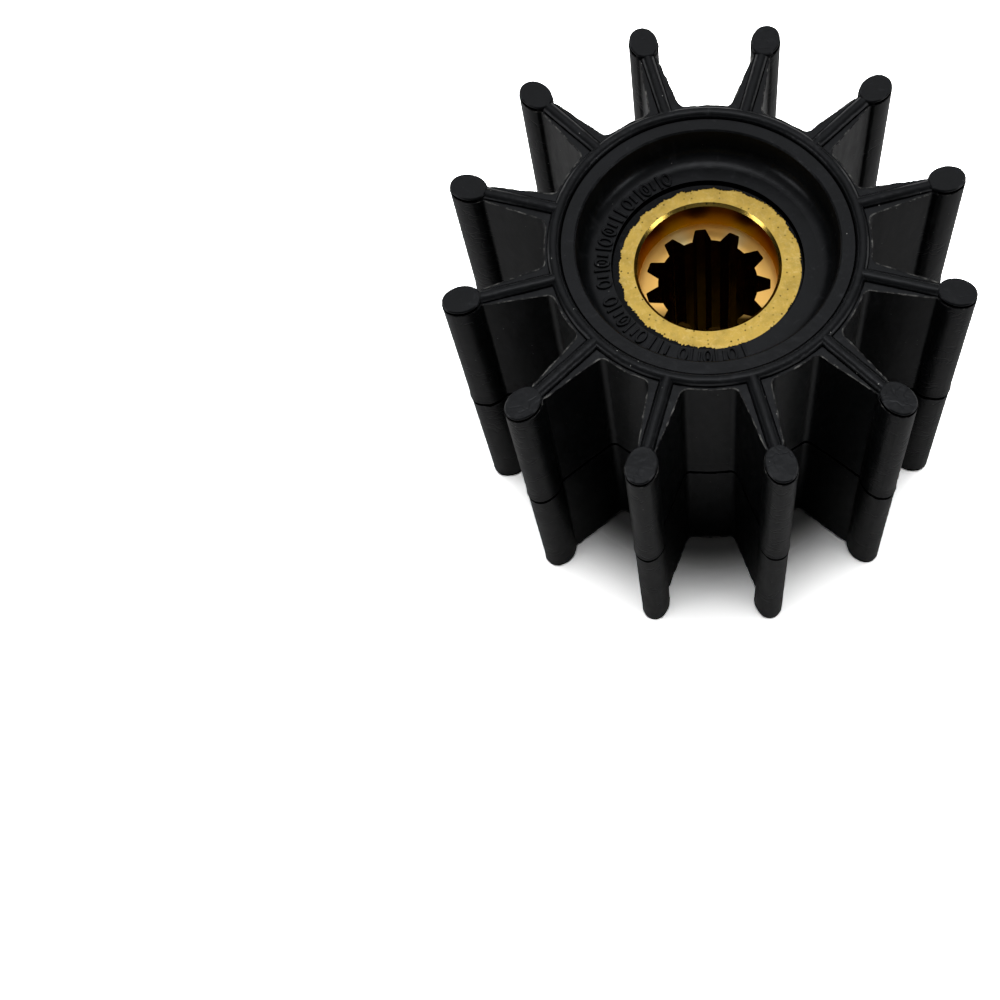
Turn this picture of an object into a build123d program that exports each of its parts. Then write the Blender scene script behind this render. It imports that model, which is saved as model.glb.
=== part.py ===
from build123d import *
import os

# Flexible-blade pump impeller: a rubber body moulded in one piece round a splined brass bush.
# The shaft axis is Z and the origin is the middle of the lower end, so the impeller stands
# on its blade tips. Lengths are millimetres and angles are degrees.

# Overall
overall_diameter = 95.2      # over the blade tips
overall_width = 75.0         # over the end faces of the blade tips

# Blades
blade_count = 12
first_blade_angle = 15.0     # from +X
tip_length = 7.0             # along the blade
tip_width = 5.5              # across the blade
tip_edge_bevel = 0.2         # round the end faces of the tips
tip_inset = 0.1              # the end caps of the tips are this much slimmer all round
tip_root_radius = 0.8        # where the web runs into the tip
web_root_thickness = 5.6     # where the web leaves the hub
web_tip_thickness = 3.0      # where the web meets the tip
web_root_radius = 1.5        # where the web runs into the hub

# Sealing ribs on both ends
shoulder_depth = 1.2         # the flat shoulders lie this far below the tips' end faces
web_rib_width = 2.4
web_rib_height = 1.1
hub_rib_width = 2.2
hub_rib_height = 1.15
hub_rib_margin = 0.45        # from the hub's wall to the foot of its rib

# Hub and the cup in each end
hub_diameter = 57.4
cup_diameter = 46.6          # at the mouth
cup_floor_diameter = 45.6    # where the slightly tapered wall would meet the floor
cup_depth = 7.5              # from the shoulders to the floor
cup_corner_radius = 3.0
cup_lip_bevel = 0.3
seat_diameter = 34.8         # the shallow recess in the cup's floor, round the bush
seat_depth = 1.1

# Brass bush
bush_diameter = 33.8
counterbore_diameter = 25.6
counterbore_depth = 6.7
counterbore_bevel = 0.55
spline_count = 11
first_groove_angle = 96.5    # from +X
spline_minor_diameter = 18.4     # over the lands
spline_major_diameter = 23.0     # over the groove floors
groove_mouth_width = 3.5
groove_floor_width = 2.0
groove_corner_radius = 0.35
spline_lead_in = 0.8         # bevel on the lands at the plain end

# Derived places
hub_radius = hub_diameter / 2
tip_centre_radius = overall_diameter / 2 - tip_length / 2
shoulder_top = overall_width - shoulder_depth
bush_inset = shoulder_depth + cup_depth + seat_depth
bush_length = overall_width - 2 * bush_inset
blade_angle_step = 360 / blade_count
mid_width = overall_width / 2


def tip_outline(inset):
    """The oval section of a blade's tip, on the blade's own X axis, drawn with four arcs.

    The ends are curved halfway between an ellipse's and a half round, and the sides run into
    them smoothly. A smaller outline lies inside it at the same distance all round.
    """
    half_length = tip_length / 2
    half_width = tip_width / 2
    end_radius = (half_width**2 / half_length + half_width) / 2
    end_centre = half_length - end_radius
    side_radius = (end_centre**2 + half_width**2 - end_radius**2) / (2 * (half_width - end_radius))
    side_centre = side_radius - half_width
    join_x = end_centre * (side_radius - inset) / (side_radius - end_radius)
    join_y = side_centre * (end_radius - inset) / (side_radius - end_radius)
    end_x = half_length - inset
    side_y = half_width - inset
    outline = [
        ThreePointArc((join_x, -join_y), (end_x, 0), (join_x, join_y)),
        ThreePointArc((join_x, join_y), (0, side_y), (-join_x, join_y)),
        ThreePointArc((-join_x, join_y), (-end_x, 0), (-join_x, -join_y)),
        ThreePointArc((-join_x, -join_y), (0, -side_y), (join_x, -join_y)),
    ]
    return Pos(tip_centre_radius, 0) * make_face(outline)


def web_outline():
    """The tapering web, from the bush, where it is inside the hub, to the middle of the tip."""
    tip_start_radius = tip_centre_radius - tip_length / 2
    half_slope = (web_root_thickness - web_tip_thickness) / 2 / (tip_start_radius - hub_radius)
    inner_radius = bush_diameter / 2
    inner_half = web_root_thickness / 2 + half_slope * (hub_radius - inner_radius)
    outer_half = web_tip_thickness / 2 - half_slope * tip_length / 2
    corners = [
        (inner_radius, inner_half),
        (tip_centre_radius, outer_half),
        (tip_centre_radius, -outer_half),
        (inner_radius, -inner_half),
    ]
    return make_face(Polyline(*corners, close=True))


def around_blades(shape):
    """Copies of a shape that lies on the X axis, one for each blade."""
    angles = [first_blade_angle + i * blade_angle_step for i in range(blade_count)]
    return [Rot(0, 0, angle) * shape for angle in angles]


def star():
    """Hub, webs and tips between the shoulders, with the upright corners between them rounded."""
    hub = Rot(0, 0, first_blade_angle) * Circle(hub_radius)
    outline = hub + around_blades(web_outline() + tip_outline(0))
    body = Pos(0, 0, shoulder_depth) * extrude(outline, amount=shoulder_top - shoulder_depth)
    tip_start_radius = tip_centre_radius - tip_length / 2
    web_middle_radius = (hub_radius + tip_start_radius) / 2

    def distance(edge):
        middle = edge.center()
        return Vector(middle.X, middle.Y).length

    def upright_corners(inner, outer):
        return [e for e in body.edges().filter_by(Axis.Z) if inner < distance(e) < outer]

    body = fillet(upright_corners(0, web_middle_radius), web_root_radius)
    return fillet(upright_corners(web_middle_radius, tip_centre_radius), tip_root_radius)


def rib_section(width, height):
    """A rounded rib's section in the XZ plane, standing on the upper shoulder at X = 0."""
    foot = shoulder_top - shoulder_depth
    left = (-width / 2, 0, shoulder_top)
    right = (width / 2, 0, shoulder_top)
    crest = (0, 0, shoulder_top + height)
    sides = Polyline(right, (width / 2, 0, foot), (-width / 2, 0, foot), left)
    return make_face(ThreePointArc(left, crest, right) + sides)


def hub_rib():
    """The ring-shaped rib round the upper end of the hub."""
    middle_radius = hub_radius - hub_rib_margin - hub_rib_width / 2
    return revolve(Pos(middle_radius, 0, 0) * rib_section(hub_rib_width, hub_rib_height), Axis.Z)


def web_rib():
    """The straight rib along the upper edge of the web on the X axis."""
    inner_radius = hub_radius - hub_rib_margin - hub_rib_width / 2
    section = Pos(inner_radius, 0, 0) * Rot(0, 0, 90) * rib_section(web_rib_width, web_rib_height)
    return extrude(section, amount=tip_centre_radius - inner_radius, dir=(1, 0, 0))


def blade_tip():
    """A tip over its full width, slimmer than its section in the star and bevelled at both ends."""
    tip = extrude(tip_outline(tip_inset), amount=overall_width)
    ends = tip.faces().filter_by(Axis.Z)
    return chamfer(ends.edges(), tip_edge_bevel)


def upper_hollow():
    """The cup in the upper end and the seat round the bush, as a solid to take away."""
    seat_radius = seat_diameter / 2
    floor_z = shoulder_top - cup_depth
    seat_z = floor_z - seat_depth
    mouth_radius = cup_diameter / 2
    wall_foot = (cup_floor_diameter / 2, 0, floor_z)
    corners = [
        (0, 0, seat_z),
        (seat_radius, 0, seat_z),
        (seat_radius, 0, floor_z),
        wall_foot,
        (mouth_radius, 0, shoulder_top - cup_lip_bevel),
        (mouth_radius + cup_lip_bevel, 0, shoulder_top),
        (mouth_radius + cup_lip_bevel, 0, overall_width),
        (0, 0, overall_width),
    ]
    section = make_face(Polyline(*corners, close=True))
    corner = section.vertices().sort_by_distance(wall_foot)[0]
    return revolve(fillet(corner, cup_corner_radius), Axis.Z)


def impeller_body():
    """The rubber moulding: hub, webs, tips and ribs, less the cups and the bush's bore."""
    end_ribs = [hub_rib()] + around_blades(web_rib())
    lower_ribs = [mirror(rib, Plane.XY.offset(mid_width)) for rib in end_ribs]
    body = star() + around_blades(blade_tip()) + end_ribs + lower_ribs
    hollow = upper_hollow()
    body -= hollow
    body -= mirror(hollow, Plane.XY.offset(mid_width))
    body -= Pos(0, 0, mid_width) * Cylinder(bush_diameter / 2, bush_length)
    return body


def spline_outline():
    """The open section of the internal spline: a round bore and its grooves."""
    minor_radius = spline_minor_diameter / 2
    major_radius = spline_major_diameter / 2
    mouth = groove_mouth_width / 2
    floor = groove_floor_width / 2
    inside = 2 * minor_radius - major_radius
    corners = [
        (inside, mouth),
        (minor_radius, mouth),
        (major_radius, floor),
        (major_radius, -floor),
        (minor_radius, -mouth),
        (inside, -mouth),
    ]
    groove = make_face(Polyline(*corners, close=True))
    floor_corners = groove.vertices().sort_by(Axis.X)[-2:]
    groove = fillet(floor_corners, groove_corner_radius)
    step = 360 / spline_count
    grooves = [Rot(0, 0, first_groove_angle + i * step) * groove for i in range(spline_count)]
    return Circle(minor_radius) + grooves


def splined_bush():
    """The brass bush, with its counterbore upwards."""
    bush = Pos(0, 0, mid_width) * Cylinder(bush_diameter / 2, bush_length)
    upper_face = bush_inset + bush_length
    shoulder = upper_face - counterbore_depth
    counterbore_radius = counterbore_diameter / 2
    bush -= Pos(0, 0, bush_inset) * extrude(spline_outline(), amount=bush_length)
    bush -= Pos(0, 0, shoulder + counterbore_depth / 2) * Cylinder(counterbore_radius, counterbore_depth)
    rim_bevel = Cone(counterbore_radius, counterbore_radius + counterbore_bevel, counterbore_bevel)
    bush -= Pos(0, 0, upper_face - counterbore_bevel / 2) * rim_bevel
    land_radius = spline_minor_diameter / 2
    lead_in = Cone(land_radius + spline_lead_in, land_radius, spline_lead_in)
    bush -= Pos(0, 0, bush_inset + spline_lead_in / 2) * lead_in
    return bush


os.makedirs("parts", exist_ok=True)
export_step(impeller_body(), "parts/impeller_body.step")
export_step(splined_bush(), "parts/splined_bush.step")
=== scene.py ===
import math
import bpy
import bmesh
from mathutils import Matrix, Vector, noise


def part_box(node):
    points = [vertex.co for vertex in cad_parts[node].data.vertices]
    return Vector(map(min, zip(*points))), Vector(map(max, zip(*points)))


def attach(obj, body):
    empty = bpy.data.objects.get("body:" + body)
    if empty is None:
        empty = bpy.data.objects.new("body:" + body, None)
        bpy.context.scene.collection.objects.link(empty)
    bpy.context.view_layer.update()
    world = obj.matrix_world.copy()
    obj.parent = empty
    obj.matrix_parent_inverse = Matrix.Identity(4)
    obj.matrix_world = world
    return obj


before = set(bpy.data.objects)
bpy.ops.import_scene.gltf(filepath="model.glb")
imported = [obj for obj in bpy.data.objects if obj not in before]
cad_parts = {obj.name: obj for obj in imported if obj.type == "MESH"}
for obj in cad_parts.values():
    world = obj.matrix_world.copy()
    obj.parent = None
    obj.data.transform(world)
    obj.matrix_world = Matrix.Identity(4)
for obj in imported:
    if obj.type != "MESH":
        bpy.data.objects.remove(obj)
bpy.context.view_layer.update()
mm = 0.001
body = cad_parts["impeller_body"]
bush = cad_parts["splined_bush"]
bodyLow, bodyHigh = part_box("impeller_body")
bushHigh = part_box("splined_bush")[1]
print("frame loaded, impeller", round((bodyHigh.z - bodyLow.z) / mm, 2), "mm wide")

# Camera

cameraView = {
    "place": (-0.87 * mm, -141.12 * mm, 315.62 * mm),
    "lens": 57.33,           # mm on a 36 mm sensor
    "downTilt": 63.21,       # degrees below the horizon
    "turn": 3.52,            # degrees
    "roll": -3.98,
    "shift": (-0.16, -0.16),
    "nearest": 10 * mm,
}


def addCamera():
    camera = bpy.data.objects.new("camera", bpy.data.cameras.new("camera"))
    bpy.context.scene.collection.objects.link(camera)
    turn = Matrix.Rotation(math.radians(cameraView["turn"]), 4, "Z")
    tilt = Matrix.Rotation(math.radians(90 - cameraView["downTilt"]), 4, "X")
    roll = Matrix.Rotation(math.radians(cameraView["roll"]), 4, "Z")
    camera.matrix_world = Matrix.Translation(cameraView["place"]) @ turn @ tilt @ roll
    camera.data.lens = cameraView["lens"]
    camera.data.shift_x, camera.data.shift_y = cameraView["shift"]
    camera.data.clip_start = cameraView["nearest"]
    bpy.context.scene.camera = camera


addCamera()
bpy.context.scene.view_settings.view_transform = "Standard"
print("camera placed")

# Material helpers


def linear(hexColour):
    # An sRGB hex colour as linear red, green, blue and alpha.
    channels = [int(hexColour[i:i + 2], 16) / 255 for i in (1, 3, 5)]
    return [c / 12.92 if c <= 0.04045 else ((c + 0.055) / 1.055) ** 2.4 for c in channels] + [1]


def addNode(tree, kind, inputs=None, **settings):
    node = tree.nodes.new(kind)
    for name, value in settings.items():
        setattr(node, name, value)
    for name, value in (inputs or {}).items():
        if isinstance(value, bpy.types.NodeSocket):
            tree.links.new(value, node.inputs[name])
        else:
            node.inputs[name].default_value = value
    return node


def newMaterial(name):
    material = bpy.data.materials.new(name)
    material.use_nodes = True
    material.node_tree.nodes.clear()
    return material, material.node_tree


def coat(tree, inputs):
    surface = addNode(tree, "ShaderNodeBsdfPrincipled", inputs)
    addNode(tree, "ShaderNodeOutputMaterial", {"Surface": surface.outputs["BSDF"]})


def maths(tree, operation, *values, **settings):
    inputs = dict(enumerate(values))
    return addNode(tree, "ShaderNodeMath", inputs, operation=operation, **settings).outputs[0]


def remap(tree, value, start, end, low=0.0, high=1.0, **settings):
    # The value moved from one range to another and held at its ends.
    inputs = {"Value": value, "From Min": start, "From Max": end, "To Min": low, "To Max": high}
    return addNode(tree, "ShaderNodeMapRange", inputs, **settings).outputs["Result"]


def choose(tree, share, first, second):
    # The first value where the share is 0 and the second where it is 1.
    return remap(tree, share, 0.0, 1.0, first, second)


def blend(tree, share, first, second):
    # The same for colours. Each is a hex colour or a socket.
    first, second = [linear(c) if isinstance(c, str) else c for c in (first, second)]
    return addNode(tree, "ShaderNodeMix", {0: share, 6: first, 7: second}, data_type="RGBA").outputs[2]


def objectPlace(tree):
    return addNode(tree, "ShaderNodeTexCoord").outputs["Object"]


def along(tree, vector, axis):
    return addNode(tree, "ShaderNodeSeparateXYZ", {"Vector": vector}).outputs[axis]


def stretched(tree, vector, factors):
    node = addNode(tree, "ShaderNodeVectorMath", {0: vector, 1: factors}, operation="MULTIPLY")
    return node.outputs["Vector"]


def lengthOf(tree, vector):
    return addNode(tree, "ShaderNodeVectorMath", {0: vector}, operation="LENGTH").outputs["Value"]


def offset(tree, value, middle):
    # How far the value is from the middle, on either side.
    return maths(tree, "ABSOLUTE", maths(tree, "SUBTRACT", value, middle))


def pattern(tree, place, size, detail, roughness, distortion):
    inputs = {"Vector": place, "Scale": 1 / size, "Detail": detail, "Roughness": roughness,
              "Distortion": distortion}
    return addNode(tree, "ShaderNodeTexNoise", inputs).outputs["Fac"]


noiseMiddle = 0.5    # the value that a pattern wavers round
speckCore = 0.4      # the share of a speck's radius within which it is at full strength


def specks(tree, place, spacing, radius, **settings):
    # Round specks, at most one in a cell, and a chance between 0 and 1 for each cell.
    cells = addNode(tree, "ShaderNodeTexVoronoi", {
        "Vector": place, "Scale": 1 / spacing, "Randomness": 1.0}, **settings)
    chance = addNode(tree, "ShaderNodeSeparateColor", {"Color": cells.outputs["Color"]}).outputs["Red"]
    reach = radius / spacing
    return remap(tree, cells.outputs["Distance"], reach, reach * speckCore), chance


# Rubber

rubberLook = {
    "colour": "#0a0b0c",
    "paleColour": "#0f1012",
    "mottle": (6 * mm, 4.0, 0.6, 0.0),           # each pattern's size, detail, roughness, distortion
    "mottleSpread": (0.35, 0.65),                # the part of the pattern's range that counts
    "drape": (1, 1, 0.3),                        # scuffs and ripples run long down the impeller
    "scuffColour": "#1e1f21",
    "scuffs": (2.2 * mm, 3.0, 0.55, 0.8),
    "scuffSpread": (0.6, 0.76),
    "dustColour": "#9a9a97",
    "dustSpacing": 1.9 * mm,
    "dustRadius": 0.13 * mm,
    "cleanShare": 0.62,
    "sheenSpread": (0.3, 0.7),
    "roughness": (0.28, 0.37),
    "specular": 0.2,
    "thinSpecular": 0.08,                        # where the rubber is thin and wrinkled
    "sheenTint": "#f5f8fe",                      # its reflections are a little cool
    "ripples": (2.6 * mm, 2.0, 0.5, 0.0),        # soft unevenness of the skin
    "rippleDepth": 0.12 * mm,
    "rippleStrength": 0.6,
    "endRipple": 2.6,                            # how much stronger on ribs and end faces
    "endFade": (1.5 * mm, 1.2 * mm),             # how far down from the end faces that starts
    "wrinkles": (2.4 * mm, 1.0, 0.5, 0.8),       # short crinkles on the blade tips
    "wrinkleStretch": (0.8, 0.8, 1.0),
    "wrinkleWidth": 0.05,
    "wrinkleDepth": 0.5,                         # as a share of the ripples' depth
    "wrinkleSpread": (0.48, 0.56),               # the part of the mottle's range that has them
    "wrinkleFade": (40 * mm, 41 * mm),           # from the shaft
    "grain": (0.35 * mm, 2.0, 0.5, 0.0),
    "grainDepth": 0.007 * mm,
    "grainStrength": 0.8,
}


def rippleHeight(tree, place, draped):
    middle = (bodyLow.z + bodyHigh.z) / 2
    half = bodyHigh.z - middle
    fadeFrom, fadeTo = rubberLook["endFade"]
    off = offset(tree, along(tree, place, "Z"), middle)
    gain = remap(tree, off, half - fadeFrom, half - fadeTo, 1.0, rubberLook["endRipple"])
    swell = maths(tree, "SUBTRACT", pattern(tree, draped, *rubberLook["ripples"]), noiseMiddle)
    return maths(tree, "MULTIPLY", swell, gain)


def wrinkleDepth(tree, place, mottle):
    crossed = stretched(tree, place, rubberLook["wrinkleStretch"])
    off = offset(tree, pattern(tree, crossed, *rubberLook["wrinkles"]), noiseMiddle)
    fold = remap(tree, off, rubberLook["wrinkleWidth"], 0.0)
    fromAxis = lengthOf(tree, stretched(tree, place, (1, 1, 0)))
    onTips = remap(tree, fromAxis, *rubberLook["wrinkleFade"], 0.0, rubberLook["wrinkleDepth"])
    patches = remap(tree, mottle, *rubberLook["wrinkleSpread"])
    return maths(tree, "MULTIPLY", fold, maths(tree, "MULTIPLY", patches, onTips))


def rubberMaterial(name, specular):
    # Neoprene pressed in a steel mould: near black with a low sheen, its skin softly rippled and
    # faintly wrinkled on the blade tips, with pale scuffs and a few specks of dust.
    material, tree = newMaterial(name)
    place = objectPlace(tree)
    draped = stretched(tree, place, rubberLook["drape"])
    mottle = pattern(tree, place, *rubberLook["mottle"])
    scuffs = pattern(tree, draped, *rubberLook["scuffs"])
    cloudy = blend(tree, remap(tree, mottle, *rubberLook["mottleSpread"]), rubberLook["colour"],
                   rubberLook["paleColour"])
    scuffed = blend(tree, remap(tree, scuffs, *rubberLook["scuffSpread"]), cloudy,
                    rubberLook["scuffColour"])
    speck, chance = specks(tree, place, rubberLook["dustSpacing"], rubberLook["dustRadius"])
    chosen = maths(tree, "GREATER_THAN", chance, rubberLook["cleanShare"])
    colour = blend(tree, maths(tree, "MULTIPLY", speck, chosen), scuffed, rubberLook["dustColour"])
    relief = maths(tree, "SUBTRACT", rippleHeight(tree, place, draped), wrinkleDepth(tree, place, mottle))
    waves = addNode(tree, "ShaderNodeBump", {
        "Height": relief, "Strength": rubberLook["rippleStrength"],
        "Distance": rubberLook["rippleDepth"]})
    skin = addNode(tree, "ShaderNodeBump", {
        "Height": pattern(tree, place, *rubberLook["grain"]), "Strength": rubberLook["grainStrength"],
        "Distance": rubberLook["grainDepth"], "Normal": waves.outputs["Normal"]})
    coat(tree, {
        "Base Color": colour, "Specular IOR Level": specular,
        "Roughness": remap(tree, scuffs, *rubberLook["sheenSpread"], *rubberLook["roughness"]),
        "Specular Tint": linear(rubberLook["sheenTint"]), "Normal": skin.outputs["Normal"]})
    return material


paintedShadeLook = {
    "colour": "#020202",
    "roughness": 0.9,
}


def paintedShadeMaterial():
    # Painted shade: matt black neoprene with no sheen, put where shade falls, so it reads as a black line.
    material, tree = newMaterial("paintedShadeNeoprene")
    coat(tree, {
        "Base Color": linear(paintedShadeLook["colour"]), "Roughness": paintedShadeLook["roughness"],
        "Specular IOR Level": 0.0})
    return material


tornLook = {
    "paleColour": "#62625f",
    "tears": (1.8 * mm, 4.0, 0.7, 0.0),
    "tearSpread": (0.46, 0.66),
    "roughness": 0.5,
    "specular": 0.2,
}


def tornMaterial():
    # Neoprene squeezed paper thin and torn off: its ragged edge is paler than the body, in patches.
    material, tree = newMaterial("tornNeoprene")
    tears = pattern(tree, objectPlace(tree), *tornLook["tears"])
    colour = blend(tree, remap(tree, tears, *tornLook["tearSpread"]), rubberLook["paleColour"],
                   tornLook["paleColour"])
    coat(tree, {
        "Base Color": colour, "Roughness": tornLook["roughness"],
        "Specular IOR Level": tornLook["specular"]})
    return material


# Brass

brassLook = {
    "faceColour": "#d9b75c",
    "faceRoughness": 0.36,
    "faceSlope": (0.3, 0.6),                     # how level a surface is where it stops being wall
    # Painted highlight: the bevel is coloured brighter than the face.
    "bevelHighlightColour": "#ffd769",
    "bevelRoughness": 0.22,
    "bevelSlope": 0.9,                           # less level than this, it is the bevel
    "counterbore": 6.7 * mm,                     # its depth
    "shadedWallColour": "#b28c2b",                     # its wall: brass painted a deeper tone, as shade
    "rimShadeColour": "#5a440f",                     # painted darker still, as shade, towards the rim
    "rimShadeFrom": 4.5 * mm,                        # and is deepest from this height up
    "wallRoughness": 0.34,
    "boreRoughness": 0.2,
    "edgeTint": "#c8a254",                       # it stays yellow at a glancing view
    "freshAndLitColour": "#ffca70",                    # the shoulder at the foot of the counterbore, fresh-cut and painted brighter as a highlight
    "freshWithin": 0.5 * mm,
    "paintedHighlightColour": "#ffe3a0",                      # painted highlights, where its turned rings catch the light
    "paintedHighlightAngles": (90, 29, 17),                   # middle from +X, how far aside, half their spread
    "paintedNearShadeColour": "#2a1c06",                   # painted shade on its near side, under the wall
    "paintedNearShadeFade": (-4.5 * mm, -7.5 * mm),        # along Y
    "wornPattern": (0.9 * mm, 5.0, 0.65, 0.8),   # size, detail, roughness and distortion
    "wornSpread": (0.5, 0.7),
    "wornColour": "#eed386",
    "wornShare": 0.6,
    "stainPattern": (3 * mm, 6.0, 0.7, 0.0),
    "stainSpread": (0.45, 0.75),
    "stainColour": "#9a8040",
    "stainShare": 0.55,
    "pitColour": "#2a1c08",
    "pitSpacing": 1.3 * mm,
    "pitRadius": 0.22 * mm,
    "cleanShare": 0.66,
    "ringSpacing": 2.2 * mm,                     # of the tool's marks
    "ringWaver": 0.4,
    "ringDetail": 2.0,
    "reliefDepth": 0.03 * mm,
    "reliefStrength": 0.3,
}
waveRadians = 20         # what the wave texture runs through over a length of one
gradientAtX = 0.5        # what the radial gradient gives on +X


def shoulderColour(tree, place):
    # Fresh-cut metal, painted brighter as a highlight, with two painted highlights fanning out, one on each
    # side of the back, and painted shade on its near side. They are painted at fixed places, so they don't
    # follow the light.
    middle, aside, spread = [angle / 360 for angle in brassLook["paintedHighlightAngles"]]
    turn = addNode(tree, "ShaderNodeTexGradient", {"Vector": place}, gradient_type="RADIAL").outputs["Fac"]
    offHighlight = offset(tree, offset(tree, turn, middle + gradientAtX), aside)
    paintedHighlight = remap(tree, offHighlight, spread, 0.0, interpolation_type="SMOOTHSTEP")
    highlighted = blend(tree, paintedHighlight, brassLook["freshAndLitColour"], brassLook["paintedHighlightColour"])
    nearShade = remap(tree, along(tree, place, "Y"), *brassLook["paintedNearShadeFade"])
    return blend(tree, nearShade, highlighted, brassLook["paintedNearShadeColour"])


def brassMaterial():
    # Turned free-cutting brass: matt and pale on its end face, where it is rubbed, stained and
    # pitted, with a painted highlight on the bevel, and smooth down the bored walls, painted a deeper amber
    # as shade.
    material, tree = newMaterial("turnedBrass")
    place = objectPlace(tree)
    up = along(tree, place, "Z")
    normal = addNode(tree, "ShaderNodeNewGeometry").outputs["True Normal"]
    level = maths(tree, "ABSOLUTE", along(tree, normal, "Z"))
    face = remap(tree, level, *brassLook["faceSlope"])
    bevelled = maths(tree, "LESS_THAN", level, brassLook["bevelSlope"])
    shoulder = bushHigh.z - brassLook["counterbore"]
    fresh = maths(tree, "LESS_THAN", offset(tree, up, shoulder), brassLook["freshWithin"])
    outside = maths(tree, "SUBTRACT", face, fresh, use_clamp=True)

    rise = remap(tree, up, shoulder, shoulder + brassLook["rimShadeFrom"])
    shadedWallTone = blend(tree, rise, brassLook["shadedWallColour"], brassLook["rimShadeColour"])
    endTone = blend(tree, bevelled, brassLook["faceColour"], brassLook["bevelHighlightColour"])
    levelTone = blend(tree, fresh, endTone, shoulderColour(tree, place))
    colour = blend(tree, face, shadedWallTone, levelTone)
    for kind in ("worn", "stain"):
        cloud = pattern(tree, place, *brassLook[kind + "Pattern"])
        strength = remap(tree, cloud, *brassLook[kind + "Spread"], 0.0, brassLook[kind + "Share"])
        colour = blend(tree, maths(tree, "MULTIPLY", strength, outside), colour, brassLook[kind + "Colour"])
    speck, chance = specks(tree, place, brassLook["pitSpacing"], brassLook["pitRadius"],
                           voronoi_dimensions="2D")
    chosen = remap(tree, chance, brassLook["cleanShare"], 1.0)
    pits = maths(tree, "MULTIPLY", maths(tree, "MULTIPLY", speck, chosen), outside)
    colour = blend(tree, pits, colour, brassLook["pitColour"])

    above = maths(tree, "GREATER_THAN", up, shoulder)
    wallRoughness = choose(tree, above, brassLook["boreRoughness"], brassLook["wallRoughness"])
    endRoughness = choose(tree, bevelled, brassLook["faceRoughness"], brassLook["bevelRoughness"])
    rings = addNode(tree, "ShaderNodeTexWave", {
        "Vector": place, "Scale": math.tau / (brassLook["ringSpacing"] * waveRadians),
        "Distortion": brassLook["ringWaver"], "Detail": brassLook["ringDetail"]},
        wave_type="RINGS", rings_direction="Z", wave_profile="SIN")
    relief = addNode(tree, "ShaderNodeBump", {
        "Height": maths(tree, "SUBTRACT", rings.outputs["Fac"], pits),
        "Strength": brassLook["reliefStrength"], "Distance": brassLook["reliefDepth"]})
    coat(tree, {
        "Base Color": colour, "Metallic": 1.0, "Roughness": choose(tree, face, wallRoughness, endRoughness),
        "Specular Tint": linear(brassLook["edgeTint"]), "Normal": relief.outputs["Normal"]})
    return material


rubber = rubberMaterial("mouldedNeoprene", rubberLook["specular"])
thinRubber = rubberMaterial("thinNeoprene", rubberLook["thinSpecular"])
paintedShade = paintedShadeMaterial()
torn = tornMaterial()
body.data.materials[0] = rubber
bush.data.materials[0] = brassMaterial()
print("materials made")

# Mesh helpers

bodySizes = {
    "shoulderDepth": 1.2 * mm,   # under the end faces of the tips
    "hubInside": 27.1 * mm,      # what lies within is not part of the outside line
    "outlineWeld": 0.001 * mm,
    "pieceWeld": 0.0005 * mm,
}


def ofKind(geom, kind):
    return [g for g in geom if isinstance(g, kind)]


def addPiece(name, bm, material):
    bmesh.ops.remove_doubles(bm, verts=bm.verts, dist=bodySizes["pieceWeld"])
    bmesh.ops.recalc_face_normals(bm, faces=bm.faces)
    mesh = bpy.data.meshes.new(name)
    bm.to_mesh(mesh)
    bm.free()
    mesh.materials.append(material)
    piece = bpy.data.objects.new(name, mesh)
    bpy.context.scene.collection.objects.link(piece)
    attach(piece, "root")
    print(name, "made,", len(mesh.polygons), "faces")
    return piece


def turnedRing(section, steps):
    # A ring round the shaft from the radius and height of each corner of its section.
    bm = bmesh.new()
    corners = [bm.verts.new((radius, 0, height)) for radius, height in section]
    edges = [bm.edges.new((corners[i - 1], corners[i])) for i in range(len(corners))]
    bmesh.ops.spin(bm, geom=corners + edges, cent=(0, 0, 0), axis=(0, 0, 1), angle=math.tau,
                   steps=steps, use_merge=True)
    return bm


def bodyOutline(height, longest):
    # The body's outside line where a level plane cuts it, in runs no longer than asked.
    bm = bmesh.new()
    bm.from_mesh(body.data)
    bmesh.ops.remove_doubles(bm, verts=bm.verts, dist=bodySizes["outlineWeld"])
    bmesh.ops.bisect_plane(bm, geom=bm.verts[:] + bm.edges[:] + bm.faces[:], plane_co=(0, 0, height),
                           plane_no=(0, 0, 1), clear_inner=True, clear_outer=True)
    inner = [v for v in bm.verts if v.co.xy.length < bodySizes["hubInside"]]
    bmesh.ops.delete(bm, geom=inner, context="VERTS")
    for edge in bm.edges[:]:
        cuts = int(edge.calc_length() / longest)
        if cuts:
            bmesh.ops.subdivide_edges(bm, edges=[edge], cuts=cuts)
    return bm


def goRound(bm):
    # The outline's points in order, anticlockwise.
    start = bm.verts[:][0]
    ordered = [start]
    edge = start.link_edges[0]
    vert = edge.other_vert(start)
    while vert is not start:
        ordered.append(vert)
        edge = [e for e in vert.link_edges if e is not edge][0]
        vert = edge.other_vert(vert)
    turn = sum(a.co.xy.cross(b.co.xy) for a, b in zip(ordered, ordered[1:] + ordered[:1]))
    return ordered if turn > 0 else ordered[::-1]


bandLook = {
    "fineLength": 0.3,       # a second, finer waver, as shares of the first
    "fineShare": 0.7,
    "fade": 1 * mm,          # over which a band sinks away where it ends
}


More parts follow.
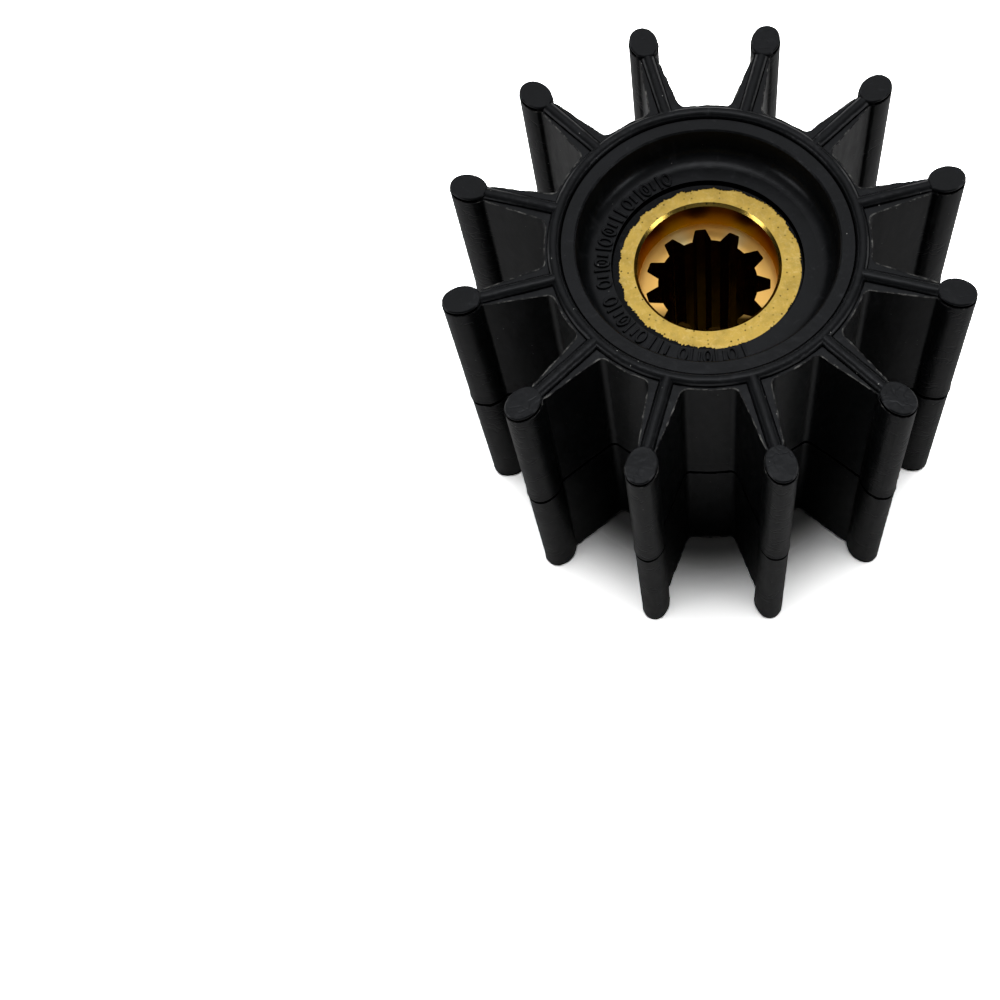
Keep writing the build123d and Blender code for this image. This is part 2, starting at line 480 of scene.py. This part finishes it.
def addBand(name, height, profile, look, material):
    # A closed band round the blades and hub. The profile gives how far out and up each of its edges
    # runs, and how far that edge wavers out and up.
    bm = bodyOutline(height, look["step"])
    order = bm.verts.layers.int.new("order")
    ordered = goRound(bm)
    places = [v.co.copy() for v in ordered]
    outward = []
    for i in range(len(places)):
        ahead = places[(i + 1) % len(places)] - places[i - 1]
        outward.append(Vector((ahead.y, -ahead.x, 0)).normalized())
    for i, v in enumerate(ordered):
        v[order] = i
    first = last = bm.edges[:]
    rows = [ordered]
    for _ in profile[1:]:
        grown = bmesh.ops.extrude_edge_only(bm, edges=last)["geom"]
        row = set(ofKind(grown, bmesh.types.BMVert))
        last = [e for e in ofKind(grown, bmesh.types.BMEdge) if set(e.verts) <= row]
        rows.append(row)
    sunk = profile[0][0]
    seeded = Vector((0, 0, look["seed"]))
    coarse = look["waveLength"]
    fine = coarse * bandLook["fineLength"]
    for row, (out, up, outWaver, upWaver) in zip(rows, profile):
        for v in row:
            i = v[order]
            drift = noise.noise(places[i] / coarse + seeded)
            drift += noise.noise(places[i] / fine + seeded) * bandLook["fineShare"]
            reach = out + drift * outWaver
            far = places[i].xy.length
            inwards = (look["within"] - far) / bandLook["fade"]
            outwards = (far - look["beyond"]) / bandLook["fade"]
            shown = max(0, min(1, inwards, outwards))
            v.co = places[i] + outward[i] * (sunk + (reach - sunk) * shown)
            v.co.z += up + drift * upWaver
    bmesh.ops.bridge_loops(bm, edges=first + last)
    return addPiece(name, bm, material)


# Mould seam

seamLook = {
    "height": 37.7 * mm,
    "lip": 0.15 * mm,                            # how far the upper half stands out over the lower
    "lipWaver": 0.02 * mm,
    "fade": 3.6 * mm,                            # the lip dies away over this height
    "edge": ((1, 0), (0.9, 0.08)),               # its shape, as shares of the lip and of the fade
    "slope": ((0.5, 0.3), (0.2, 0.6)),
    "tuck": 0.02 * mm,
    "sunk": 0.1 * mm,
    "shadeHeight": 1.3 * mm,                             # height of the painted shade under the lip
    "shadeProud": 0.05 * mm,
    "shadeOverlap": 0.05 * mm,
    "shadeWaver": 1.4,                             # how much more its lower edge wavers
    "step": 0.9 * mm,
    "beyond": 0,
    "within": 60 * mm,                           # all the way out to the blade tips
    "waveLength": 4.2 * mm,
    "waver": 0.3 * mm,
    "seed": 3.1,
}


def addSeam():
    # The mould closes here, and its upper half is a little larger, so the rubber steps in below.
    lip, fade, sunk = seamLook["lip"], seamLook["fade"], seamLook["sunk"]
    waver, lipWaver = seamLook["waver"], seamLook["lipWaver"]
    profile = [(-sunk, 0, 0, waver)]
    profile += [(lip * out, fade * up, lipWaver, waver) for out, up in seamLook["edge"]]
    profile += [(lip * out, fade * up, 0, 0) for out, up in seamLook["slope"]]
    profile += [(-seamLook["tuck"], fade, 0, 0), (-sunk, fade, 0, 0)]
    addBand("mould_seam", seamLook["height"], profile, seamLook, rubber)
    # Painted shade: a black band under the lip, where the step shades the lower half.
    proud, overlap, shadeHeight = seamLook["shadeProud"], seamLook["shadeOverlap"], seamLook["shadeHeight"]
    lowWaver = waver * seamLook["shadeWaver"]
    profile = [
        (-sunk, overlap, 0, waver),
        (-sunk, -shadeHeight, 0, lowWaver),
        (proud, -shadeHeight, 0, lowWaver),
        (proud, overlap, 0, waver),
    ]
    addBand("seam_painted_shade", seamLook["height"], profile, seamLook, paintedShade)


# Torn flash under the shoulders

flashLook = {
    "below": 0.14 * mm,      # under the shoulders
    "reach": 0.15 * mm,
    "thick": 0.16 * mm,
    "sunk": 0.08 * mm,
    "shape": (0.3, 1.2),     # where it starts outside and ends inside, as shares of its thickness
    "step": 0.5 * mm,
    "beyond": 0,
    "within": 41.2 * mm,     # the hub and webs only
    "waveLength": 1.8 * mm,
    "waver": 0.14 * mm,
    "upWaver": 0.04 * mm,
    "seed": 8.4,
}
tipFlashLook = dict(flashLook, beyond=41.0 * mm, within=60 * mm, reach=0.03 * mm, thick=0.12 * mm,
                    seed=1.7)


def addEndFlash(name, height, up, look):
    # A thin torn fin where the end plate of the mould met the body.
    sunk, reach, tall = look["sunk"], look["reach"], up * look["thick"]
    start, end = look["shape"]
    profile = [
        (-sunk, 0, 0, 0),
        (reach, tall * start, look["waver"], look["upWaver"]),
        (reach, tall, look["waver"], look["upWaver"]),
        (-sunk, tall * end, 0, 0),
    ]
    addBand(name, height, profile, look, torn)


# Painted shade round the sides of the tips' caps

capLook = {
    "middle": 0.75 * mm,     # under the end faces
    "tall": 0.6 * mm,
    "proud": 0.03 * mm,
    "sunk": 0.85 * mm,
    "step": 0.6 * mm,
    "beyond": 40.9 * mm,     # the blade tips only
    "within": 60 * mm,
    "waveLength": 2.4 * mm,
    "waver": 0.12 * mm,
    "seed": 6.2,
}


def addCapShade(name, height):
    # Painted shade: a black band round the side of each tip's slimmer cap, under its end face.
    sunk, proud, half = capLook["sunk"], capLook["proud"], capLook["tall"] / 2
    profile = [
        (-sunk, -half, 0, 0),
        (proud, -half, 0, capLook["waver"]),
        (proud, half, 0, 0),
        (-sunk, half, 0, 0),
    ]
    addBand(name, height, profile, capLook, paintedShade)


# Painted shade at the feet of the ribs

footLook = {
    "above": 0.14 * mm,      # over the shoulders
    "tall": 0.22 * mm,
    "proud": 0.07 * mm,
    "sunk": 0.1 * mm,
    "step": 0.8 * mm,
    "beyond": 0,
    "within": 41.2 * mm,     # the ribs only
    "waveLength": 3.0 * mm,
    "waver": 0.05 * mm,
    "seed": 4.6,
    "ringRadius": 26.05 * mm,    # the inner foot of the hub's rib
    "ringWidth": 0.26 * mm,
    "ringInnerRise": 0.3,        # as a share of its outer one
    "ringSteps": 180,
}


def addRibFeet(end, height, up):
    # Painted shade: black bands along the sharp corner where the ribs rise from the shoulders, which holds
    # no light.
    sunk, proud, half = footLook["sunk"], footLook["proud"], footLook["tall"] / 2
    profile = [
        (-sunk, -half, 0, 0),
        (proud, -half, footLook["waver"], 0),
        (proud, half, footLook["waver"], 0),
        (-sunk, half, 0, 0),
    ]
    addBand(end + "_rib_feet", height + up * footLook["above"], profile, footLook, paintedShade)
    inside = footLook["ringRadius"] - footLook["ringWidth"]
    outside = footLook["ringRadius"] + sunk
    rise = up * half
    section = [
        (inside, height - rise),
        (outside, height - rise),
        (outside, height + rise),
        (inside, height + rise * footLook["ringInnerRise"]),
    ]
    addPiece(end + "_rib_foot_ring", turnedRing(section, footLook["ringSteps"]), paintedShade)


addSeam()
upperShoulder = bodyHigh.z - bodySizes["shoulderDepth"]
lowerShoulder = bodyLow.z + bodySizes["shoulderDepth"]
addRibFeet("upper", upperShoulder, 1)
addRibFeet("lower", lowerShoulder, -1)
addCapShade("upper_cap_shade", bodyHigh.z - capLook["middle"])
addCapShade("lower_cap_shade", bodyLow.z + capLook["middle"])
upperEdge = upperShoulder - flashLook["below"]
lowerEdge = lowerShoulder + flashLook["below"]
addEndFlash("upper_flash", upperEdge, 1, flashLook)
addEndFlash("lower_flash", lowerEdge, -1, flashLook)
addEndFlash("upper_tip_flash", upperEdge, 1, tipFlashLook)
addEndFlash("lower_tip_flash", lowerEdge, -1, tipFlashLook)
print("seam, feet, caps and flash made")

# Rubber that crept over the brass

filmLook = {
    "outerRadius": 17.35 * mm,
    "meanRadius": 16.35 * mm,
    "lopsided": 0.6 * mm,        # further in on one side
    "lopsidedAt": 152,           # degrees from +X
    "ragged": 0.6 * mm,
    "coarse": (7, 2.3, 0.8),     # the scale, seed and share of each waver of its edge
    "fine": (30, 5.9, 0.9),
    "finest": (90, 1.2, 0.45),
    "leastWidth": 0.2 * mm,
    "thick": 0.14 * mm,
    "rise": 0.16 * mm,           # up the side of its seat
    "rimWidth": 0.05 * mm,
    "sunk": 0.01 * mm,
    "steps": 540,
}


def edgeWaver(around, kind):
    scale, seed, _ = filmLook[kind]
    return noise.noise(around * scale + Vector((0, 0, seed)))


def filmRadius(angle):
    around = Vector((math.cos(angle), math.sin(angle), 0))
    waver = edgeWaver(around, "coarse") * filmLook["coarse"][2]
    waver += abs(edgeWaver(around, "fine")) * filmLook["fine"][2]
    waver += edgeWaver(around, "finest") * filmLook["finest"][2]
    aside = math.cos(angle - math.radians(filmLook["lopsidedAt"]))
    radius = filmLook["meanRadius"] - filmLook["lopsided"] * aside + filmLook["ragged"] * waver
    return min(radius, filmLook["outerRadius"] - filmLook["leastWidth"])


def addFilm():
    # A thin film with a torn inner edge on the outer part of the brass face.
    bm = bmesh.new()
    bmesh.ops.create_circle(bm, segments=filmLook["steps"], radius=filmLook["outerRadius"])
    grown = bmesh.ops.extrude_edge_only(bm, edges=bm.edges[:])["geom"]
    for v in ofKind(grown, bmesh.types.BMVert):
        angle = math.atan2(v.co.y, v.co.x)
        v.co = Vector((math.cos(angle), math.sin(angle), 0)) * filmRadius(angle)
    raised = bmesh.ops.extrude_face_region(bm, geom=bm.faces[:])["geom"]
    top = ofKind(raised, bmesh.types.BMVert)
    bmesh.ops.translate(bm, verts=top, vec=(0, 0, filmLook["thick"]))
    rim = [v for v in top if v.co.xy.length > filmLook["outerRadius"] - filmLook["rimWidth"]]
    bmesh.ops.translate(bm, verts=rim, vec=(0, 0, filmLook["rise"]))
    bmesh.ops.translate(bm, verts=bm.verts, vec=(0, 0, bushHigh.z - filmLook["sunk"]))
    addPiece("seat_film", bm, thinRubber)


seatShadeLook = {
    "wide": 0.5 * mm,
    "tall": 1.0 * mm,
    "lopsided": 1.5,         # how much wider it is at the back
    "leastShare": 0.4,       # and how narrow at the front
    "steps": 180,
}


def addSeatShade():
    # Painted shade: a black ring between the film and the side of its seat, wider at the back.
    middle, half = filmLook["outerRadius"], seatShadeLook["wide"] / 2
    low, high = bushHigh.z, bushHigh.z + seatShadeLook["tall"]
    section = [(middle - half, low), (middle + half, low), (middle + half, high), (middle, high)]
    bm = turnedRing(section, seatShadeLook["steps"])
    for v in bm.verts:
        far = v.co.xy.length
        if far < middle - half / 2:
            share = max(seatShadeLook["leastShare"], 1 + seatShadeLook["lopsided"] * v.co.y / far)
            v.co.xy *= (middle - half * share) / far
    addPiece("seat_painted_shade", bm, paintedShade)


addFilm()
addSeatShade()

# Cup marks

markLook = {
    "spans": ((113, 193, 13), (204, 245, 7), (256, 289, 6)),   # degrees from +X and how many marks
    "floorRise": 1.1 * mm,       # the cup's floor over the face of the bush
    "radius": 19.0 * mm,
    "tall": 2.9 * mm,            # towards the rim of the cup
    "wide": 1.85 * mm,
    "stroke": 0.48 * mm,
    "raised": 0.45 * mm,
    "sunk": 0.03 * mm,
    "edge": 0.1 * mm,            # bevel along the top
    "edgeAngle": 1,              # radians between faces, over which an edge is bevelled
    "uprightBelow": 0.3,         # how level a side painted black as shade may be
    "ringSteps": 16,
    "shortBar": 0.7,             # of the height
    "innerBar": 0.4,
    "kinds": "oltloilt",         # ring, pair of bars, ring with a bar, single bar
}


def addRing(bm):
    size = (markLook["tall"], markLook["wide"])
    outer = bmesh.ops.create_circle(bm, segments=markLook["ringSteps"], radius=0.5)["verts"]
    bmesh.ops.scale(bm, verts=outer, vec=(*size, 1))
    edges = list({e for v in outer for e in v.link_edges})
    grown = bmesh.ops.extrude_edge_only(bm, edges=edges)["geom"]
    inner = ofKind(grown, bmesh.types.BMVert)
    shrink = [1 - 2 * markLook["stroke"] / side for side in size]
    bmesh.ops.scale(bm, verts=inner, vec=(*shrink, 1))
    raised = bmesh.ops.extrude_face_region(bm, geom=ofKind(grown, bmesh.types.BMFace))["geom"]
    top = ofKind(raised, bmesh.types.BMVert)
    bmesh.ops.translate(bm, verts=top, vec=(0, 0, markLook["raised"]))
    return outer + inner + top


def addBar(bm, length, aside):
    bar = bmesh.ops.create_cube(bm, size=1)["verts"]
    bmesh.ops.scale(bm, verts=bar, vec=(length, markLook["stroke"], markLook["raised"]))
    bmesh.ops.translate(bm, verts=bar, vec=(0, aside, markLook["raised"] / 2))
    return bar


def addMark(bm, kind):
    aside = (markLook["wide"] - markLook["stroke"]) / 2
    tall = markLook["tall"]
    if kind == "o":
        return addRing(bm)
    if kind == "l":
        return addBar(bm, tall, -aside) + addBar(bm, tall * markLook["shortBar"], aside)
    if kind == "t":
        return addRing(bm) + addBar(bm, tall * markLook["innerBar"], 0)
    return addBar(bm, tall, 0)


def addMarks():
    # Plain raised rings and bars by turns, pressed into the floor of the cup by the mould. Their
    # upright sides are painted black, as shade.
    bm = bmesh.new()
    cupFloor = bushHigh.z + markLook["floorRise"]
    kinds = markLook["kinds"]
    for start, end, count in markLook["spans"]:
        for i in range(count):
            angle = math.radians(start + (end - start) * i / (count - 1))
            mark = addMark(bm, kinds[i % len(kinds)])
            bmesh.ops.translate(bm, verts=mark, vec=(markLook["radius"], 0, cupFloor - markLook["sunk"]))
            bmesh.ops.rotate(bm, verts=mark, cent=(0, 0, 0), matrix=Matrix.Rotation(angle, 3, "Z"))
    raised = [e for e in bm.edges if all(v.co.z > cupFloor for v in e.verts)]
    tops = [e for e in raised if e.calc_face_angle() > markLook["edgeAngle"]]
    bmesh.ops.bevel(bm, geom=tops, offset=markLook["edge"], offset_type="OFFSET", segments=1, profile=0.5,
                    affect="EDGES", material=-1)
    bm.normal_update()
    for face in bm.faces:
        face.material_index = int(abs(face.normal.z) < markLook["uprightBelow"])
    marks = addPiece("cup_marks", bm, rubber)
    marks.data.materials.append(paintedShade)


addMarks()

# Floor and light

stageLook = {
    "floorSize": 6.0,            # metres, as are the lamps' places and sizes
    "floorShade": 0.3,           # as the object's own light sees it
    "floorGloss": 0.37,          # as reflections see it
    "floorGain": 3.6,            # as the camera sees it
    "paintedShadowSpan": (30.5 * mm, 45.5 * mm),      # painted shadow: the floor is dark between the blades and clears outwards
    "paintedShadowShade": 0.04,
    "reflectedPaintedShadow": 0.035,
    "bore": (12 * mm, 16 * mm),          # painted light: reflections see the floor brighter under the bore, as light coming up through it
    "reflectedBoreLight": 0.8,
    "far": (0.17, 0.42),         # and blends into the white room this far out
    "sky": 0.03,                 # what the surroundings add to the softbox
    "lowGloss": 1.8,             # reflections of the room level with the object
    "low": (0.04, 0.16),         # and the heights between which they end
    "frontGloss": 0.25,          # reflections of the dark side of the room, behind the camera
    "backGloss": 0.92,           # and of the pale wall opposite
    "depth": (0.0, 0.62),        # between these, from front to back
    "height": (0.4, 0.78),       # and they fade towards the horizon between these heights
    "lampHeight": 0.7,
    "lampBack": 0.18,
    "lampSize": 1.2,
    "lampPower": 8.0,            # watts
    "glintSize": 0.3,            # the small lamps that draw highlights along ribs and edges
    "glintPower": 0.85,
    "sidePlace": (0.8, -0.38, 0.32),
    "sidePower": 1.1,
}


def addFloor():
    # White paper with a painted shadow between the blades, running into a white room far out. The camera,
    # reflections and the object's own light each see it in a brightness of their own, and reflections see
    # painted light under the bore.
    bm = bmesh.new()
    bmesh.ops.create_grid(bm, x_segments=1, y_segments=1, size=stageLook["floorSize"] / 2)
    mesh = bpy.data.meshes.new("floor")
    bm.to_mesh(mesh)
    bm.free()
    floor = bpy.data.objects.new("floor", mesh)
    bpy.context.scene.collection.objects.link(floor)
    material, tree = newMaterial("whitePaperFloor")
    rays = addNode(tree, "ShaderNodeLightPath").outputs
    fromAxis = lengthOf(tree, objectPlace(tree))
    paper = choose(tree, rays["Is Glossy Ray"], stageLook["floorShade"], stageLook["floorGloss"])
    paper = choose(tree, rays["Is Camera Ray"], paper, stageLook["floorGain"])
    # Painted shadow between the blades, and painted light under the bore as reflections see it.
    darkest = remap(tree, fromAxis, *stageLook["bore"], stageLook["reflectedBoreLight"],
                    stageLook["reflectedPaintedShadow"])
    darkest = choose(tree, rays["Is Camera Ray"], darkest, stageLook["paintedShadowShade"])
    clear = remap(tree, fromAxis, *stageLook["paintedShadowSpan"], darkest, interpolation_type="SMOOTHSTEP")
    near = addNode(tree, "ShaderNodeBsdfDiffuse", {"Color": maths(tree, "MULTIPLY", paper, clear)})
    glow = choose(tree, rays["Is Glossy Ray"], stageLook["sky"], stageLook["lowGloss"])
    away = addNode(tree, "ShaderNodeEmission", {"Strength": choose(tree, rays["Is Camera Ray"], glow, 1.0)})
    far = remap(tree, fromAxis, *stageLook["far"], interpolation_type="SMOOTHSTEP")
    surface = addNode(tree, "ShaderNodeMixShader", {
        0: far, 1: near.outputs["BSDF"], 2: away.outputs["Emission"]})
    addNode(tree, "ShaderNodeOutputMaterial", {"Surface": surface.outputs["Shader"]})
    mesh.materials.append(material)


def addSky():
    # White to the camera, pale to reflections from behind the object and dark from in front.
    world = bpy.data.worlds.new("studioRoom")
    bpy.context.scene.world = world
    world.use_nodes = True
    tree = world.node_tree
    tree.nodes.clear()
    rays = addNode(tree, "ShaderNodeLightPath").outputs
    direction = addNode(tree, "ShaderNodeTexCoord").outputs["Generated"]
    back = along(tree, direction, "Y")
    up = along(tree, direction, "Z")
    wall = remap(tree, back, *stageLook["depth"], stageLook["frontGloss"], stageLook["backGloss"],
                 interpolation_type="SMOOTHSTEP")
    overhead = remap(tree, up, *stageLook["height"], interpolation_type="SMOOTHSTEP")
    low = remap(tree, up, *stageLook["low"], stageLook["lowGloss"], 0.0, interpolation_type="SMOOTHSTEP")
    gloss = maths(tree, "ADD", maths(tree, "MULTIPLY", wall, overhead), low)
    reflected = choose(tree, rays["Is Glossy Ray"], stageLook["sky"], gloss)
    seen = maths(tree, "MAXIMUM", rays["Is Camera Ray"], rays["Is Transmission Ray"])
    sky = addNode(tree, "ShaderNodeBackground", {
        "Color": (1, 1, 1, 1), "Strength": choose(tree, seen, reflected, 1.0)})
    addNode(tree, "ShaderNodeOutputWorld", {"Surface": sky.outputs["Background"]})


def addLamp(name, size, power, place):
    # A square lamp that faces the object.
    light = bpy.data.lights.new(name, "AREA")
    light.shape = "SQUARE"
    light.size = size
    light.energy = power
    lamp = bpy.data.objects.new(name, light)
    lamp.location = place
    lamp.rotation_euler = Vector(place).to_track_quat("Z", "Y").to_euler()
    bpy.context.scene.collection.objects.link(lamp)
    return lamp


def addLamps():
    # The softbox lights the object, and the three glints are only seen in reflections.
    above = stageLook["lampHeight"]
    sideX, sideY, sideZ = stageLook["sidePlace"]
    softbox = addLamp("softbox", stageLook["lampSize"], stageLook["lampPower"],
                      (0, stageLook["lampBack"], above))
    softbox.visible_glossy = False
    glints = [
        addLamp("top_glint", stageLook["glintSize"], stageLook["glintPower"], (0, 0, above)),
        addLamp("right_glint", stageLook["glintSize"], stageLook["sidePower"], (sideX, sideY, sideZ)),
        addLamp("left_glint", stageLook["glintSize"], stageLook["sidePower"], (-sideX, sideY, sideZ)),
    ]
    for glint in glints:
        glint.visible_diffuse = False


addFloor()
addSky()
addLamps()
print("floor and light set")
